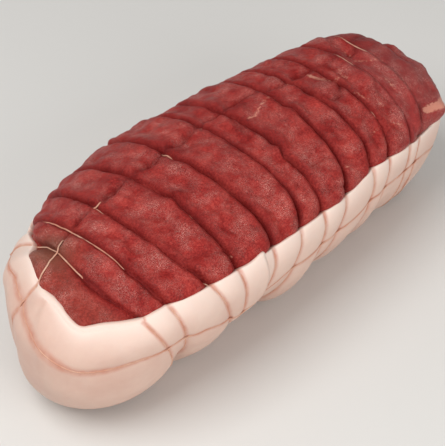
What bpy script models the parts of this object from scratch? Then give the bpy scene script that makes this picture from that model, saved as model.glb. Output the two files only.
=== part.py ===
"""Rolled and tied beef joint: lean meat, a fat cover in two sheets, and the butcher's string that holds it.

Metres, +Z up. +X runs along the joint from the blunt end with the deep fat to the far end, the joint
stands on a small flat of its fat, and the origin is under its middle, at the height of that flat.
"""

import math

import bmesh
import bpy
import numpy as np
from mathutils import Vector
from mathutils.bvhtree import BVHTree

MM = 0.001

# The body without its ties: heights are from the widest level, stations are from mid-length.
LENGTH = 380 * MM
HALF_WIDTH = 81 * MM
CREST_RISE = 37 * MM
BELLY_DROP = 86 * MM
WIDTH_TAPER = -0.065          # share of the half width gained from mid-length to the far end
WIDTH_BARREL = -0.29          # share of the half width lost at both ends
CREST_BARREL = -0.10
END_BEND = -10 * MM           # both ends swing to the near side
NEAR_END_BEND = -6 * MM       # and the tip of the blunt end a little more
NEAR_CAP = 87 * MM
FAR_CAP = 40 * MM
NEAR_CAP_POWER = 2.2
FAR_CAP_POWER = 2.8
NEAR_CAP_DROP = 8 * MM        # the blunt end noses down
UNDER_CAP = 78 * MM           # but its underside stays full for longer
UNDER_CAP_POWER = 2.6
UNDER_BEND = 18 * MM          # and swings to the far side
UNDER_LIFT = 0.1              # share of its depth lost at the tip
SIDE_POWER = 2.17
DOME_POWER = 2.05
BELLY_SWELL = 3 * MM          # how far the fat under the joint bulges between ties
TABLE = -78 * MM              # the soft belly flattens at this level, measured from the widest level
SETTLE = 5 * MM               # fat this near the table spreads onto it
SETTLED_SHARE = 0.9           # and lies flat on it where it swells to this share of its bay's swell
UNDER_TIE = 7 * MM            # the ties run this far above the table underneath
END_LIFT = 5 * MM             # both ends curve up off the table by this
UNDER_STRING_TURN = 281.25    # where the lengthwise string runs underneath
UNDER_CHANNEL = 4 * MM

# Each tie, from the blunt end: where it crosses the crest, the near rim, the near side below the belt,
# the underside and the far rim, in millimetres from mid-length.
TIE_ANGLES = (90, 156, 194, 270, 405)
TIES = (
    (-143, -139, -121, -128, -141),
    (-123, -119, -108, -108, -126),
    (-98, -85, -67, -81, -100),
    (-61, -62, -57, -55, -74),
    (-27, -29, -38, -32, -31),
    (10, -2, -15, -6, 2),
    (31, 22, 21, 22, 24),
    (67, 46, 35, 46, 61),
    (88, 79, 74, 76, 80),
    (112, 98, 91, 96, 104),
    (136, 122, 119, 120, 130),
    (155, 135, 131, 138, 149),
)
# How far the meat rises between one tie and the next, and how far the fat sags there on the near side,
# in millimetres; the first and the last are the ends beyond the outer ties.
CROWN_SWELL = (2, 2.5, 3, 3.5, 3.5, 3.5, 2.5, 3.5, 3, 3, 3, 2.5, 1)
FLANK_SWELL = (9, 0, 9, 2, 1, 0, 8, 1, 5, 4, -1, 0, -2)
# How far each tie draws the near flank and the far shoulder in (below zero) or lets them out.
FLANK_BITE = (-6, -14, -12, -11, -12, -8, -8, -6, -6, -4, -1, 0)
SHOULDER_BITE = (-3, -7, -5, -3, 0, -1, -6, -7, -7, -6, -4, -2)
FLANK_ANGLE, FLANK_SPREAD = 222, 36
SHOULDER_ANGLE, SHOULDER_SPREAD = 38, 30
# On the blunt end, with places on its round face as shares of it: the fat bulges out on the far side, and
# below the crossing of the two lengthwise strings it is pulled in.
CORNER_SWELL = 6 * MM
CORNER_ACROSS, CORNER_UP, CORNER_SPREAD = 0.6, 0.15, 0.45
KNOT_DENT = 8 * MM
KNOT_ACROSS, KNOT_UP, KNOT_SPREAD = 0.47, -0.42, 0.28

# The rim, where meat and fat meet: station, height on the near side, height on the far side.
RIM = ((-165, 14, 24), (-140, 16, 23), (-120, 19, 9), (-100, 17, 4), (-45, 14, 4), (0, 12, 4), (25, 11, 6),
       (45, 10, 5), (80, 12, 4), (150, 2, 4))
RIM_TO_TIP = 4                # how late, along the round of an end, the rim leaves the side's height
RIM_DIP = 4 * MM              # and how far it dips where the blunt end turns into the near side
DIP_PLACE, DIP_SPREAD = 0.85, 0.3         # shares of the way round to the tip

FAT_THICK = 9 * MM
FRONT_SHEET_PROUD = 2.5 * MM
PROUD_RUN = 55 * MM           # the front sheet thickens over this length up to the seam
SHEET_SEAM = 3 + 2 / 3        # tie number, so two thirds of the way from the fourth tie to the fifth
SEAM_GAP = 0.4 * MM
LIP_DIP = 2 * MM              # the cut edge of the fat slopes down to the meat by this
LIP_ROUND = 2.5 * MM
LEAN_TUCK = 3 * MM            # the meat's edge tucks in behind the lip
CLEAR = 0.3 * MM

STRING_RADIUS = 0.75 * MM
STRING_LIFT = 1.9 * MM        # a string's middle over the skin, or over the string, that it lies on
STRING_SEARCH = 20 * MM       # the skin is looked for this far either side of a string
STRING_TESTS = (0, 0.2, 0.4, 0.6, 0.8)
STRING_PASSES = 3
# The lengthwise strings' places across the joint and below the rim, as shares of its half width and of the
# fat's depth: the crest string at these tie numbers, and both on the round face of the blunt end.
CREST_STRING_TIES = (0, 0.4, 1.2, 2, 6.5, 7.2, 9, 10.4, 11)
CREST_STRING_SIDES = (0.56, 0.45, 0.31, 0.26, 0.28, 0.2, 0.155, 0.07, 0.12)
UNDER_STRING_SIDE = 0.195
BELT_STRING_LEVEL = -0.24
BELT_STRING_TIES = (0, 1.4, 2.2, 4, 4.6, 11)            # and on the near side at these tie numbers
NEAR_BELT_LEVELS = (-0.29, -0.265, -0.38, -0.38, -0.27, -0.25)
KNOT_SIDE, KNOT_LEVEL = 0.18, -0.08       # where they cross on the blunt end
BLUNT_CREST_UP = (-0.8, -0.28, KNOT_LEVEL, 0.37, 0.7)
BLUNT_CREST_SIDES = (0.195, 0.22, KNOT_SIDE, 0.337, 0.53)
BLUNT_BELT_ACROSS = (-0.95, -0.7, -0.36, 0, KNOT_SIDE, 0.5, 0.95)
BLUNT_BELT_LEVELS = (-0.29, -0.22, -0.16, -0.1, KNOT_LEVEL, -0.1, -0.2)
ROUND_THE_END = (0.8, 0.55, 0.35, 0.17, 0, KNOT_LEVEL, BELT_STRING_LEVEL, -0.33, -0.42, -0.51, -0.6, -0.9)
ROUND_THE_SIDE = 12

ROUND_CUTS = 8
END_ROWS = (0.45, 0.2)        # rows past the outer ties, before the round of the end
LONG_BAY_ROWS = (0, 1 / 3, 2 / 3)
SHORT_BAY_ROWS = (0, 0.5)
SHORT_BAYS = (0, 5, 10)
TURN_STEP = 360 / (4 * ROUND_CUTS)
RAY_REACH = 45 * MM           # the rays from the rim's middle fan out in this shape
RAY_RISE = 26 * MM
RAY_DROP = 100 * MM
RAY_HALVINGS = 36
LAST_TIE = len(TIES) - 1


def clear_scene():
    for thing in list(bpy.data.objects):
        bpy.data.objects.remove(thing, do_unlink=True)


def ease(share):
    share = np.clip(share, 0, 1)
    return share * share * (3 - 2 * share)


def outline(x):
    """The section at station x: half width, rise, drop, shifts to the side and up, bend of the underside."""
    share = x / (LENGTH / 2)
    into_near = np.clip((NEAR_CAP - (x + LENGTH / 2)) / NEAR_CAP, 0, 1)
    into_far = np.clip((FAR_CAP - (LENGTH / 2 - x)) / FAR_CAP, 0, 1)
    round_off = (1 - into_near ** NEAR_CAP_POWER) ** (1 / NEAR_CAP_POWER)
    round_off = round_off * (1 - into_far ** FAR_CAP_POWER) ** (1 / FAR_CAP_POWER)
    half = HALF_WIDTH * (1 + WIDTH_TAPER * share + WIDTH_BARREL * share ** 2) * round_off
    rise = CREST_RISE * (1 + CREST_BARREL * share ** 2) * round_off
    under_near = np.clip((UNDER_CAP - (x + LENGTH / 2)) / UNDER_CAP, 0, 1)
    under_off = (1 - under_near ** UNDER_CAP_POWER) ** (1 / UNDER_CAP_POWER)
    under_off = under_off * (1 - UNDER_LIFT * into_near ** 2)
    drop = BELLY_DROP * np.where(into_near > 0, under_off, round_off)
    shift = END_BEND * share ** 2 + NEAR_END_BEND * into_near ** 2
    return half, rise, drop, shift, -NEAR_CAP_DROP * into_near ** 2, UNDER_BEND * into_near


def outside(points):
    """Below zero inside the plain body, zero on its skin, above zero outside."""
    x = np.clip(points[:, 0], -LENGTH * 0.49999, LENGTH * 0.49999)
    half, rise, drop, shift, sink, bend = outline(x)
    z = points[:, 2] - sink
    height = np.where(z > 0, rise, drop)
    side = points[:, 1] - shift - bend * np.clip(-z / BELLY_DROP, 0, 1)
    level = (np.abs(side) / half) ** SIDE_POWER + (np.abs(z) / height) ** DOME_POWER - 1
    return np.where(np.abs(points[:, 0]) > LENGTH / 2, 9.0, level)


def body_angle(turn):
    """The tie table's angle for a turn about the rim's middle: 0 far rim, 90 crest, 180 near rim."""
    turn = np.mod(turn, 360)
    return np.where(turn <= 180, 40 + turn * 116 / 180, 156 + (turn - 180) * 244 / 180)


def waves(angle):
    angle = np.radians(angle)
    once, twice = [np.cos(angle), np.sin(angle)], [np.cos(2 * angle), np.sin(2 * angle)]
    return np.stack([np.ones_like(angle)] + once + twice, -1)


TIE_WAVES = np.linalg.solve(waves(np.array(TIE_ANGLES, float)), np.array(TIES, float).T) * MM


def station(tie, turn):
    """Distance along the joint of a place given as a tie number, whole on a tie, and a turn."""
    tie = np.clip(tie, 0, LAST_TIE)
    low = np.clip(np.floor(tie).astype(int), 0, LAST_TIE - 1)
    across = waves(body_angle(turn)) @ TIE_WAVES
    rows = np.arange(len(turn))
    return across[rows, low] + (across[rows, low + 1] - across[rows, low]) * (tie - low)


def rim_height(x, turn):
    """Height of the rays' start, which is the rim's height at this station and side."""
    stations, near, far = (np.array(column, float) * MM for column in zip(*RIM))
    to_far = 0.5 + 0.5 * np.cos(np.radians(turn))
    return np.interp(x, stations, near) * (1 - to_far) + np.interp(x, stations, far) * to_far


def bump(value, centre, spread):
    return np.exp(-(((value - centre) / spread) ** 2))


def bay_curve(tie):
    """The bay that a place is in, and how far it is up the swell of that bay: 0 on a tie, 1 mid-bay."""
    bay = np.floor(tie).astype(int) + 1
    inside = tie - np.floor(tie)
    up = 1 - np.abs(2 * inside - 1) ** 2.5
    past_near = tie < 0
    past_far = tie > LAST_TIE
    up = np.where(past_near, 1 - (1 + np.minimum(tie, 0)) ** 2.5, up)
    up = np.where(past_far, 1 - (1 - np.maximum(tie - LAST_TIE, 0)) ** 2.5, up)
    bay = np.clip(np.where(past_near, 0, np.where(past_far, LAST_TIE + 1, bay)), 0, LAST_TIE + 1)
    return bay, np.clip(up, 0, 1)


def rays(tie, turn):
    """Start points and directions of the rays that place the skin: level rays meet it at the rim."""
    beyond = np.clip(tie - LAST_TIE, 0, 1) - np.clip(-tie, 0, 1)
    tip = np.abs(beyond) * math.pi / 2
    to_end = np.sin(tip) ** 2
    level = np.full_like(turn, 90.0)
    ends = station(np.where(beyond > 0, float(LAST_TIE), 0.0), level)
    x = station(tie, turn)
    height = rim_height(x, turn)
    height = height + (rim_height(ends, level) - height) * to_end ** RIM_TO_TIP
    near = (0.5 - 0.5 * np.cos(np.radians(turn))) ** 2 * (beyond < 0)
    near = near * ease(3 * to_end) * ease(3 * (1 - to_end))
    height = height - RIM_DIP * bump(to_end, DIP_PLACE, DIP_SPREAD) * near
    x = x + (ends - x) * to_end
    starts = np.stack([x, outline(x)[3], height], -1)
    around = np.radians(turn)
    up = np.sin(around) * np.where(np.sin(around) > 0, RAY_RISE, RAY_DROP)
    along = np.sign(beyond) * np.sin(tip) * RAY_REACH
    return starts, np.stack([along, np.cos(tip) * np.cos(around) * HALF_WIDTH, np.cos(tip) * up], -1)


def plain_skin(tie, turn):
    """Where the rays meet the plain body, and the directions out of it there."""
    starts, ways = rays(tie, turn)
    near, far = np.zeros(len(tie)), np.full(len(tie), 5.0)
    for _ in range(RAY_HALVINGS):
        middle = (near + far) / 2
        inside = outside(starts + ways * middle[:, None]) < 0
        near, far = np.where(inside, middle, near), np.where(inside, far, middle)
    points = starts + ways * near[:, None]
    step = 0.5 * MM
    out = np.stack([outside(points + step * axis) - outside(points - step * axis) for axis in np.eye(3)], -1)
    return points, out / np.linalg.norm(out, axis=1, keepdims=True)


def swelling(tie, turn):
    """How far the ties make the skin stand out of the plain body, or draw it in."""
    bay, up = bay_curve(tie)
    angle = body_angle(turn)
    past = np.clip(np.maximum(-tie, tie - LAST_TIE), 0, 1)
    hold = 1 - past ** 2
    flank = bump(angle, FLANK_ANGLE, FLANK_SPREAD) * hold
    shoulder = bump(np.mod(angle + 180, 360), SHOULDER_ANGLE + 180, SHOULDER_SPREAD) * hold
    below = np.clip(-np.sin(np.radians(turn)), 0, 1) ** 3 * hold
    crown = np.where(np.mod(turn, 360) <= 180, 1.0, np.clip(1 - 3 * below - flank, 0, 1))
    rise = up * (np.array(CROWN_SWELL)[bay] * crown + np.array(FLANK_SWELL)[bay] * flank) * MM
    ties = range(LAST_TIE + 1)
    held = np.clip(tie, 0, LAST_TIE)
    bite = np.interp(held, ties, FLANK_BITE) * flank + np.interp(held, ties, SHOULDER_BITE) * shoulder
    across, height = (1 - past) * np.cos(np.radians(turn)), (1 - past) * np.sin(np.radians(turn))
    dent = bump(across, KNOT_ACROSS, KNOT_SPREAD) * bump(height, KNOT_UP, KNOT_SPREAD) * ease(-2 * tie)
    corner = bump(across, CORNER_ACROSS, CORNER_SPREAD) * bump(height, CORNER_UP, CORNER_SPREAD)
    corner = corner * ease(-3 * tie)
    rise = rise + up * BELLY_SWELL * below + bite * np.clip(1 - past * 2, 0, 1) * MM
    return rise + CORNER_SWELL * corner - KNOT_DENT * dent


def skin(tie, turn, extra=0.0):
    """The joint's outer skin at a tie number (below 0 and past the last tie at the ends) and a turn."""
    points, out = plain_skin(tie, turn)
    points = points + out * (swelling(tie, turn) + extra)[:, None]
    up = bay_curve(tie)[1]
    settled = (points[:, 2] < TABLE + SETTLE) & (up > 0.8)
    past = np.clip(np.maximum(-tie, tie - LAST_TIE), 0, 1)
    floor = TABLE + UNDER_TIE * (1 - ease(up / SETTLED_SHARE)) + END_LIFT * ease(2 * past)
    points[:, 2] = np.where(settled, floor, np.maximum(points[:, 2], floor))
    channel = bump(np.mod(turn, 360), UNDER_STRING_TURN, 4) * (points[:, 2] < TABLE + UNDER_CHANNEL)
    points[:, 2] += UNDER_CHANNEL * channel
    return points, out


def row_places():
    """The tie numbers of the rows of vertices, from end to end."""
    rows = [-past for past in END_ROWS]
    for bay in range(LAST_TIE):
        rows += [bay + share for share in (SHORT_BAY_ROWS if bay in SHORT_BAYS else LONG_BAY_ROWS)]
    return np.array(rows + [LAST_TIE] + [LAST_TIE + past for past in reversed(END_ROWS)])


def cage():
    """A box cut into rows, with the tie number and the turn of each of its vertices."""
    rows = row_places()
    mesh = bmesh.new()
    bmesh.ops.create_cube(mesh, size=2)
    for axis, parts in enumerate((len(rows) - 1, ROUND_CUTS, ROUND_CUTS)):
        runs = [edge for edge in mesh.edges if abs(edge.verts[0].co[axis] - edge.verts[1].co[axis]) > 1.99]
        bmesh.ops.subdivide_edges(mesh, edges=runs, cuts=parts - 1, use_grid_fill=True)
    mesh.verts.ensure_lookup_table()
    box = np.array([vertex.co for vertex in mesh.verts])
    across, up = box[:, 1], box[:, 2]
    reach = np.maximum(np.abs(across), np.abs(up))
    safe = np.maximum(reach, 1e-9)
    turn = np.where(
        np.abs(up) >= np.abs(across),
        np.where(up > 0, 90 - 45 * across / safe, 270 + 45 * across / safe),
        np.where(across > 0, 45 * up / safe, 180 - 45 * up / safe),
    )
    turn = np.where(reach < 1e-6, 180, turn)
    tie = np.interp(box[:, 0], np.linspace(-1, 1, len(rows)), rows)
    tie = np.where(box[:, 0] < -0.999, -1 + reach * (1 + rows[0]), tie)
    tie = np.where(box[:, 0] > 0.999, LAST_TIE + 1 - reach * (LAST_TIE + 1 - rows[-1]), tie)
    return mesh, tie, np.mod(np.round(turn, 6), 360)


def below_rim(turn):
    """1 on the fat's side of the rim, 0 on the rim, -1 on the meat's side."""
    return -np.sign(np.round(np.sin(np.radians(turn)), 6))


def level_out(out):
    flat = out * np.array([1, 1, 0])
    return flat / np.linalg.norm(flat, axis=1, keepdims=True)


def under_fat(points, out, turn, extra, dip):
    """The skin points moved in by the fat's thickness, straight in at the rim."""
    at_rim = (below_rim(turn) == 0)[:, None]
    depth = FAT_THICK + np.where(at_rim, extra, np.minimum(extra, CLEAR))
    moved = points - np.where(at_rim, level_out(out), out) * depth
    moved[:, 2] -= np.where(at_rim[:, 0], dip, 0)
    return moved


def proud(tie, turn):
    """How far the front sheet stands out over the plain skin as it comes to the seam."""
    to_seam = station(np.full_like(tie, SHEET_SEAM), turn) - station(tie, turn)
    near_side = 0.5 - 0.5 * np.cos(np.radians(turn))
    return FRONT_SHEET_PROUD * near_side * ease(1 - to_seam / PROUD_RUN)


def place(vertices, points):
    for vertex, point in zip(vertices, points):
        vertex.co = Vector(point)


def finished(name, mesh, material, collection):
    bmesh.ops.recalc_face_normals(mesh, faces=mesh.faces)
    data = bpy.data.meshes.new(name)
    mesh.to_mesh(data)
    mesh.free()
    data.shade_smooth()
    data.materials.append(material)
    joint = bpy.data.objects.new(name, data)
    collection.objects.link(joint)
    return joint


def make_lean(collection, material):
    """The rolled meat: its dome shows above the rim, the rest fills the fat cover."""
    mesh, tie, turn = cage()
    points, out = skin(tie, turn)
    tucked = under_fat(points, out, turn, CLEAR + LEAN_TUCK, LIP_DIP + CLEAR)
    place(mesh.verts, np.where((below_rim(turn) < 0)[:, None], points, tucked))
    return finished("lean_beef", mesh, material, collection)


def make_fat_sheet(name, collection, material, first, last):
    """One sheet of the fat cover, between two tie numbers, with a rounded lip along the rim."""
    mesh, tie, turn = cage()
    points, out = skin(tie, turn)
    outer = skin(tie, turn, proud(tie, turn))[0] if first < 0 else points
    inner = under_fat(points, out, turn, 0, LIP_DIP)
    for side in (outer, inner):
        side[:, 0] += np.where(np.abs(tie - SHEET_SEAM) < 0.01, SEAM_GAP / 2 * (1 if first > 0 else -1), 0)
    place(mesh.verts, outer)
    names = mesh.verts.layers.int.new("cage")
    for number, vertex in enumerate(mesh.verts):
        vertex[names] = number + 1
    keep = (below_rim(turn) >= 0) & (tie > first - 0.01) & (tie < last + 0.01)
    away = [face for face in mesh.faces if not all(keep[vertex[names] - 1] for vertex in face.verts)]
    bmesh.ops.delete(mesh, geom=away, context="FACES")
    sheet = list(mesh.faces)
    doubled = bmesh.ops.extrude_face_region(mesh, geom=sheet, use_keep_orig=True)
    inside = [item for item in doubled["geom"] if isinstance(item, bmesh.types.BMVert)]
    place(inside, [inner[vertex[names] - 1] for vertex in inside])
    turns = {vertex: turn[vertex[names] - 1] for vertex in mesh.verts}
    within = set(inside)
    lips = [
        edge for edge in mesh.edges
        if all(abs(math.sin(math.radians(turns[end]))) < 1e-6 for end in edge.verts)
        and (edge.verts[0] in within) == (edge.verts[1] in within)
    ]
    bmesh.ops.recalc_face_normals(mesh, faces=mesh.faces)
    bmesh.ops.bevel(mesh, geom=lips, offset=LIP_ROUND, segments=2, profile=0.5, affect="EDGES")
    return finished(name, mesh, material, collection)


def surface_of(joints):
    """One searchable surface of all these objects."""
    graph = bpy.context.evaluated_depsgraph_get()
    spots, faces = [], []
    for joint in joints:
        solid = joint.evaluated_get(graph)
        mesh = solid.to_mesh()
        faces += [[number + len(spots) for number in face.vertices] for face in mesh.polygons]
        spots += [vertex.co.copy() for vertex in mesh.vertices]
        solid.to_mesh_clear()
    return BVHTree.FromPolygons(spots, faces)


def shortfall(surface, spot, way):
    """How much further out this spot has to go to clear the surface by the string's lift."""
    start = Vector(spot + way * STRING_SEARCH)
    distance = surface.ray_cast(start, Vector(-way), 2 * STRING_SEARCH)[3]
    return 0.0 if distance is None else max(0.0, STRING_LIFT + STRING_SEARCH - distance)


def lie_on(surface, points, out):
    """Moves a closed route out until it clears the surface at its points and between them."""
    points = points.copy()
    for _ in range(STRING_PASSES):
        for share in STRING_TESTS:
            for number, (start, way) in enumerate(zip(points, out)):
                after = (number + 1) % len(points)
                between = way * (1 - share) + out[after] * share
                between = between / np.linalg.norm(between)
                more = shortfall(surface, start * (1 - share) + points[after] * share, between)
                points[number] = start + way * more
                if share:
                    points[after] = points[after] + out[after] * more
    return points


def make_string(name, collection, material, tie, turn):
    """A closed loop of string over the given places of the skin, lying on whatever is there already."""
    bpy.context.view_layer.update()
    points, out = skin(np.asarray(tie, float), np.asarray(turn, float))
    points = lie_on(surface_of(collection.objects), points + out * STRING_LIFT, out)
    curve = bpy.data.curves.new(name, "CURVE")
    curve.dimensions = "3D"
    curve.bevel_depth = STRING_RADIUS
    curve.bevel_resolution = 0
    curve.use_fill_caps = True
    route = curve.splines.new("POLY")
    route.points.add(len(points) - 1)
    for spot, point in zip(route.points, points):
        spot.co = (*point, 1)
    route.use_cyclic_u = True
    curve.materials.append(material)
    string = bpy.data.objects.new(name, curve)
    collection.objects.link(string)
    return string


def make_ties(collection, material):
    turns = np.arange(4 * ROUND_CUTS) * TURN_STEP
    for number in range(len(TIES)):
        make_string(f"tie_{number + 1:02d}", collection, material, np.full_like(turns, number), turns)


def cap_places(across, up):
    """Tie offsets into an end cap, and turns, for places on the cap's round face."""
    return 1 - np.hypot(across, up), np.degrees(np.arctan2(up, across)) % 360


def make_crest_string(collection, material):
    """Round the joint lengthwise: over the crest, down the far end, underneath and up the blunt end."""
    ties = np.arange(2 * LAST_TIE + 1) / 2
    top = np.degrees(np.arccos(np.interp(ties, CREST_STRING_TIES, CREST_STRING_SIDES)))
    under = np.full_like(ties, 360 - math.degrees(math.acos(UNDER_STRING_SIDE)))
    down = np.array(ROUND_THE_END)
    into, turn = cap_places(np.full_like(down, UNDER_STRING_SIDE), down)
    up = down[::-1]
    back, blunt_turn = cap_places(np.interp(up, BLUNT_CREST_UP, BLUNT_CREST_SIDES), up)
    make_string(
        "crest_string", collection, material,
        np.concatenate([ties, LAST_TIE + into, ties[::-1], -back]),
        np.concatenate([top, turn, under, blunt_turn]),
    )


def make_belt_string(collection, material):
    """Round the joint level, a little below the rim."""
    ties = np.arange(2 * LAST_TIE + 1) / 2
    near_side = 180 + np.degrees(np.arcsin(-np.interp(ties, BELT_STRING_TIES, NEAR_BELT_LEVELS)))
    far_side = np.full_like(ties, 360 - math.degrees(math.asin(-BELT_STRING_LEVEL)))
    evenly = np.linspace(-0.9, 0.9, ROUND_THE_SIDE)
    across = np.sort(np.append(evenly, UNDER_STRING_SIDE))
    into, turn = cap_places(across, np.full_like(across, BELT_STRING_LEVEL))
    across = np.sort(np.append(evenly, KNOT_SIDE))[::-1]
    back, blunt_turn = cap_places(across, np.interp(across, BLUNT_BELT_ACROSS, BLUNT_BELT_LEVELS))
    make_string(
        "belt_string", collection, material,
        np.concatenate([ties, LAST_TIE + into, ties[::-1], -back]),
        np.concatenate([near_side, turn, far_side, blunt_turn]),
    )


def plain_material(name, colour, roughness):
    material = bpy.data.materials.new(name)
    material.use_nodes = True
    shader = material.node_tree.nodes["Principled BSDF"]
    shader.inputs["Base Color"].default_value = (*colour, 1)
    shader.inputs["Roughness"].default_value = roughness
    shader.inputs["Metallic"].default_value = 0
    return material


def stand_on_origin(collection):
    """Moves everything so that the joint stands on the origin, under the middle of its box."""
    bpy.context.view_layer.update()
    joints = collection.objects
    boxes = [[joint.matrix_world @ Vector(corner) for corner in joint.bound_box] for joint in joints]
    corners = np.array(boxes).reshape(-1, 3)
    low, high = corners.min(0), corners.max(0)
    for joint in joints:
        joint.location = (-(low[0] + high[0]) / 2, -(low[1] + high[1]) / 2, -TABLE)


def main():
    clear_scene()
    collection = bpy.data.collections.new("rolled_beef_joint")
    bpy.context.scene.collection.children.link(collection)
    lean = plain_material("raw lean beef", (0.30, 0.06, 0.045), 0.45)
    fat = plain_material("white beef fat", (0.75, 0.51, 0.40), 0.40)
    twine = plain_material("cotton butcher's twine", (0.70, 0.50, 0.38), 0.85)
    make_lean(collection, lean)
    make_fat_sheet("fat_cover_front", collection, fat, -1, SHEET_SEAM)
    make_fat_sheet("fat_cover_rear", collection, fat, SHEET_SEAM, LAST_TIE + 1)
    make_ties(collection, twine)
    make_belt_string(collection, twine)
    make_crest_string(collection, twine)
    stand_on_origin(collection)


main()
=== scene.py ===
"""Looks of the rolled and tied beef joint: moist raw lean on top, a waxy fat cover round it, cotton string.

Metres, +Z up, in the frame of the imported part. The body below is the part's own, with its ties: a place on
its skin is a tie number (whole on a tie, below 0 and past the last tie on the round ends) and a turn in
degrees round the rim's middle, 0 at the far rim, 90 at the crest, 180 at the near rim, 270 underneath.
"""

import math

import bmesh
import bpy
import numpy as np
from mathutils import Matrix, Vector, kdtree, noise


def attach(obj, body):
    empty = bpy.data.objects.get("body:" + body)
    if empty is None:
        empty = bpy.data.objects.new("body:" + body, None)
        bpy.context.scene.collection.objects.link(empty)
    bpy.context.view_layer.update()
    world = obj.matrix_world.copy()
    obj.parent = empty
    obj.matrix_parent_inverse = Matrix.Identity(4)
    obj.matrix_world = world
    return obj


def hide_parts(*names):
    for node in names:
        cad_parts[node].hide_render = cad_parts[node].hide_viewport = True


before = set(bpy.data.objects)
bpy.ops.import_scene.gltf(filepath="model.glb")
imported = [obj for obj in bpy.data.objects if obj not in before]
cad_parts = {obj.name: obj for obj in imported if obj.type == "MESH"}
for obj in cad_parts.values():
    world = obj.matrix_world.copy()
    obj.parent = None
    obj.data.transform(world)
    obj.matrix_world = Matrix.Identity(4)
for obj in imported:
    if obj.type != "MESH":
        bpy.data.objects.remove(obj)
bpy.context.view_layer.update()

MM = 0.001

# ---- The body, as the part has it ----------------------------------------------------------------------
# Heights are from the widest level, stations are from mid-length.
LENGTH = 380 * MM
HALF_WIDTH = 81 * MM
CREST_RISE = 37 * MM
BELLY_DROP = 86 * MM
WIDTH_TAPER = -0.065          # share of the half width gained from mid-length to the far end
WIDTH_BARREL = -0.29          # share of the half width lost at both ends
CREST_BARREL = -0.10
END_BEND = -10 * MM           # both ends swing to the near side
NEAR_END_BEND = -6 * MM       # and the tip of the blunt end a little more
NEAR_CAP, FAR_CAP = 87 * MM, 40 * MM
NEAR_CAP_POWER, FAR_CAP_POWER = 2.2, 2.8
NEAR_CAP_DROP = 8 * MM        # the blunt end noses down
UNDER_CAP, UNDER_CAP_POWER = 78 * MM, 2.6     # but its underside stays full for longer
UNDER_BEND = 18 * MM          # and swings to the far side
UNDER_LIFT = 0.1              # share of its depth lost at the tip
SIDE_POWER, DOME_POWER = 2.17, 2.05
BELLY_SWELL = 3 * MM          # how far the fat under the joint bulges between ties
TABLE = -78 * MM              # the soft belly flattens at this level
SETTLE = 5 * MM               # fat this near the table spreads onto it
SETTLED_SHARE = 0.9           # and lies flat on it where it swells to this share of its bay's swell
UNDER_TIE = 7 * MM            # the ties run this far above the table underneath
END_LIFT = 5 * MM             # both ends curve up off the table by this
JUST_INSIDE = 0.49999         # share of the length: how near the tips the outline is still asked for
PAST_THE_TIPS = 9.0           # stands for well outside the body

# Each tie, from the blunt end: where it crosses the crest, the near rim, the near side below the belt,
# the underside and the far rim, in millimetres from mid-length.
TIE_ANGLES = (90, 156, 194, 270, 405)
FAR_RIM_ANGLE, NEAR_RIM_ANGLE = 40, 156       # where the two rims are among those angles
TIES = (
    (-143, -139, -121, -128, -141),
    (-123, -119, -108, -108, -126),
    (-98, -85, -67, -81, -100),
    (-61, -62, -57, -55, -74),
    (-27, -29, -38, -32, -31),
    (10, -2, -15, -6, 2),
    (31, 22, 21, 22, 24),
    (67, 46, 35, 46, 61),
    (88, 79, 74, 76, 80),
    (112, 98, 91, 96, 104),
    (136, 122, 119, 120, 130),
    (155, 135, 131, 138, 149),
)
LAST_TIE = len(TIES) - 1
# How far the meat rises between one tie and the next, and how far the fat sags there on the near side,
# in millimetres; the first and the last are the ends beyond the outer ties.
CROWN_SWELL = (2, 2.5, 3, 3.5, 3.5, 3.5, 2.5, 3.5, 3, 3, 3, 2.5, 1)
FLANK_SWELL = (9, 0, 9, 2, 1, 0, 8, 1, 5, 4, -1, 0, -2)
SWELL_POWER = 2.5             # the swells are flat on top and fall off quickly beside the ties
# How far each tie draws the near flank and the far shoulder in (below zero) or lets them out.
FLANK_BITE = (-6, -14, -12, -11, -12, -8, -8, -6, -6, -4, -1, 0)
SHOULDER_BITE = (-3, -7, -5, -3, 0, -1, -6, -7, -7, -6, -4, -2)
FLANK_ANGLE, FLANK_SPREAD = 222, 36
SHOULDER_ANGLE, SHOULDER_SPREAD = 38, 30
# On the blunt end, with places on its round face as shares of it: the fat bulges out on the far side, and
# below the crossing of the two lengthwise strings it is pulled in.
CORNER_SWELL = 6 * MM
CORNER_ACROSS, CORNER_UP, CORNER_SPREAD = 0.6, 0.15, 0.45
KNOT_DENT = 8 * MM
KNOT_ACROSS, KNOT_UP, KNOT_SPREAD = 0.47, -0.42, 0.28

# The rim, where meat and fat meet: station, height on the near side, height on the far side.
RIM = ((-165, 14, 24), (-140, 16, 23), (-120, 19, 9), (-100, 17, 4), (-45, 14, 4), (0, 12, 4), (25, 11, 6),
       (45, 10, 5), (80, 12, 4), (150, 2, 4))
RIM_TO_TIP = 4                # how late, along the round of an end, the rim leaves the side's height
RIM_DIP = 4 * MM              # and how far it dips where the blunt end turns into the near side
DIP_PLACE, DIP_SPREAD = 0.85, 0.3         # shares of the way round to the tip
# Rays from the rim's middle fan out in this shape. Halving one, this many times as long, finds the skin.
RAY_REACH, RAY_RISE, RAY_DROP = 45 * MM, 26 * MM, 100 * MM
RAY_HALVINGS, RAY_LIMIT = 36, 5.0

FAT_THICK = 9 * MM
FRONT_SHEET_PROUD = 2.5 * MM
PROUD_RUN = 55 * MM           # the front sheet thickens over this length up to the seam
SHEET_SEAM = 3 + 2 / 3        # tie number, so two thirds of the way from the fourth tie to the fifth
SEAM_GAP = 0.4 * MM
LIP_DIP = 2 * MM              # the cut edge of the fat slopes down to the meat by this

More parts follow.
